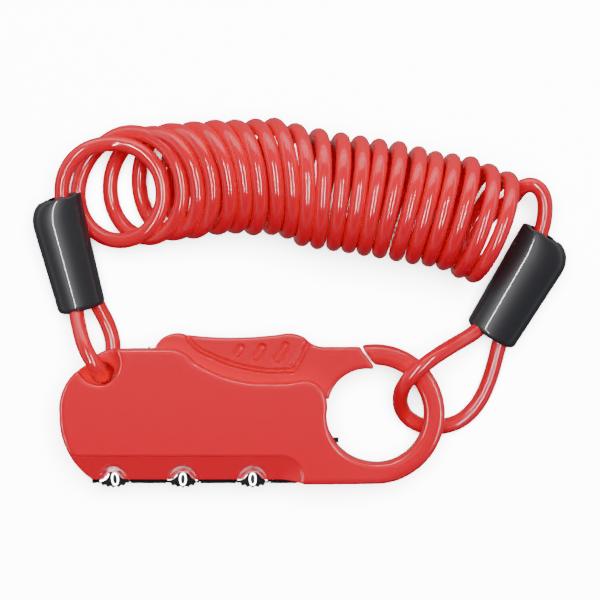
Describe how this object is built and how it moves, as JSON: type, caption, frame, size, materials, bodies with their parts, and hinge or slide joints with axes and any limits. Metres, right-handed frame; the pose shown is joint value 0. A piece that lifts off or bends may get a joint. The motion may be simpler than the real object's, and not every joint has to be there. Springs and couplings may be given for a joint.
{
  "type": "cable luggage lock",
  "caption": "Palm-sized die-cast combination clip with number dials and a sprung hook gate, tied through sleeved loops to a coiled plastic-coated cable.",
  "frame": {"origin": "middle of the lock's own box, on the plane that its back cover lies on; the cable isn't counted", "axes": "+X from the cable eye to the hook, +Y towards the gate, +Z out of the front face"},
  "size_m": [0.1102, 0.0766, 0.025],
  "materials": {
    "red_paint": "satin gloss paint",
    "rivet_metal": "painted over",
    "black_plastic": "moulded, satin",
    "dial_black": "moulded, satin",
    "digit_white": "filled number",
    "plain_steel": "zinc plated",
    "cam_brass": "turned",
    "cable_red": "glossy soft jacket",
    "ferrule_metal": "crimped",
    "sleeve_black": "glossy soft vinyl"
  },
  "bodies": {
    "root": {"front_housing": "red_paint", "back_cover": "red_paint", "cover_rivets": "rivet_metal", "dial_carrier": "black_plastic", "dial_posts": "plain_steel", "detent_spring": "plain_steel", "pivot_pin": "plain_steel", "gate_spring": "plain_steel", "cable_loop_left": "cable_red", "cable_lead_left": "cable_red", "cable_coil": "cable_red", "cable_lead_right": "cable_red", "cable_loop_right": "cable_red", "ferrule_left": "ferrule_metal", "ferrule_right": "ferrule_metal", "sleeve_left": "sleeve_black", "sleeve_right": "sleeve_black"},
    "gate": {"gate_lever": "red_paint"},
    "fence": {"lock_slide": "plain_steel"},
    "reset": {"reset_slide": "black_plastic"},
    "code_1": {"dial_1": "dial_black", "hub_1": "cam_brass"},
    "code_2": {"dial_2": "dial_black", "hub_2": "cam_brass"},
    "code_3": {"dial_3": "dial_black", "hub_3": "cam_brass"}
  },
  "joints": [
    {"name": "gate_swing", "type": "hinge", "parent": "root", "child": "gate", "pos_m": [-0.0165, 0.0088, 0.0065], "axis": [0, 0, -1], "range_deg": [0, 12], "stiffness_Nm_per_rad": 0.03, "springref_deg": -34.38},
    {"name": "fence_slide", "type": "slide", "parent": "root", "child": "fence", "axis": [-1, 0, 0], "range_m": [0, 0.0016]},
    {"name": "reset_press", "type": "slide", "parent": "root", "child": "reset", "axis": [-1, 0, 0], "range_m": [0, 0.0008]},
    {"name": "dial_1_turn", "type": "hinge", "parent": "root", "child": "code_1", "pos_m": [-0.029, -0.01055, 0.0067], "axis": [0, 0, 1], "continuous": true},
    {"name": "dial_2_turn", "type": "hinge", "parent": "root", "child": "code_2", "pos_m": [-0.0145, -0.01055, 0.0067], "axis": [0, 0, 1], "continuous": true},
    {"name": "dial_3_turn", "type": "hinge", "parent": "root", "child": "code_3", "pos_m": [0, -0.01055, 0.0067], "axis": [0, 0, 1], "continuous": true}
  ],
  "couplings": [
    {"joint": "fence_slide", "follows": "gate_swing", "m_per_rad": 0.007}
  ]
}
